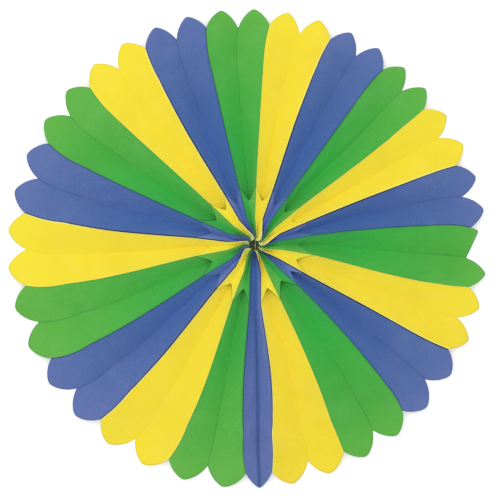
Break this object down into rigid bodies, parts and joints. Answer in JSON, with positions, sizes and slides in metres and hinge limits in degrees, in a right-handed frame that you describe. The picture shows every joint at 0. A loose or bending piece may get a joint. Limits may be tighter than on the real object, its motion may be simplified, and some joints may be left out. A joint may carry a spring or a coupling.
{
  "type": "paper fan rosette",
  "caption": "Round decoration of folded tissue sheets in three colours, glued edge to edge and fanned open, with a scalloped rim, slit valleys and a thread-tied hub.",
  "frame": {"origin": "middle of the hub, on the surface that the back of the fan rests on", "axes": "+Z out of the front of the fan; the narrow closing leaf points along -Y; +X to the viewer's right"},
  "size_m": [0.5974, 0.5995, 0.018],
  "materials": {
    "green_paper": "matt tissue",
    "yellow_paper": "matt tissue",
    "blue_paper": "matt tissue",
    "thread": "twisted cotton"
  },
  "bodies": {
    "root": {"green_sheet_01": "green_paper", "yellow_sheet_02": "yellow_paper", "blue_sheet_03": "blue_paper", "green_sheet_04": "green_paper", "yellow_sheet_05": "yellow_paper", "blue_sheet_06": "blue_paper", "green_sheet_07": "green_paper", "yellow_sheet_08": "yellow_paper", "blue_sheet_09": "blue_paper", "green_sheet_10": "green_paper", "yellow_sheet_11": "yellow_paper", "blue_sheet_12": "blue_paper", "green_sheet_13": "green_paper", "yellow_sheet_14": "yellow_paper", "blue_sheet_15": "blue_paper", "green_sheet_16": "green_paper", "yellow_sheet_17": "yellow_paper", "blue_sheet_18": "blue_paper", "green_sheet_19": "green_paper", "yellow_sheet_20": "yellow_paper", "blue_closing_leaf": "blue_paper", "hub_thread": "thread"}
  },
  "joints": []
}
